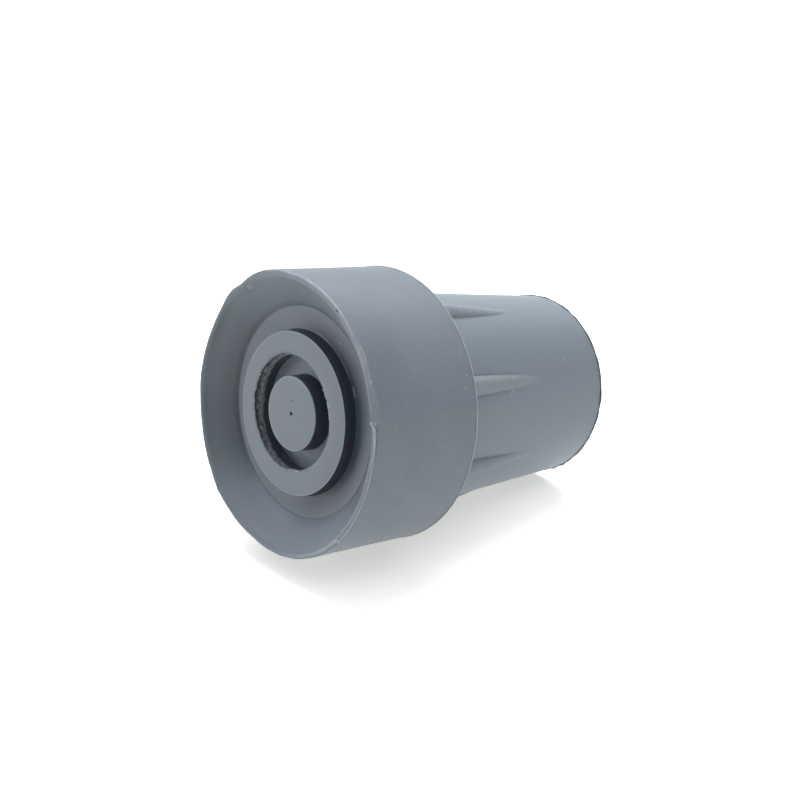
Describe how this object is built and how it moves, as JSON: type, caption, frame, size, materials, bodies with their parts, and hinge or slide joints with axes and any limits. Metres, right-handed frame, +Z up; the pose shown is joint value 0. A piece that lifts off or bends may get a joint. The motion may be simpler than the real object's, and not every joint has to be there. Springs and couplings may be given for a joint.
{
  "type": "rubber cane tip",
  "caption": "One-piece rubber tip for a walking cane or crutch, with a ribbed tapered neck, a blind tube socket and a ringed, hollow tread.",
  "frame": {"origin": "centre of the tread's rim, on the ground", "axes": "+Z up along the socket's axis, out of the socket's mouth; +X through the back of one rib"},
  "size_m": [0.0404, 0.0404, 0.053],
  "materials": {
    "grey_rubber": "matt, slightly worn, blue grey"
  },
  "bodies": {
    "root": {"tip_body": "grey_rubber"}
  },
  "joints": []
}
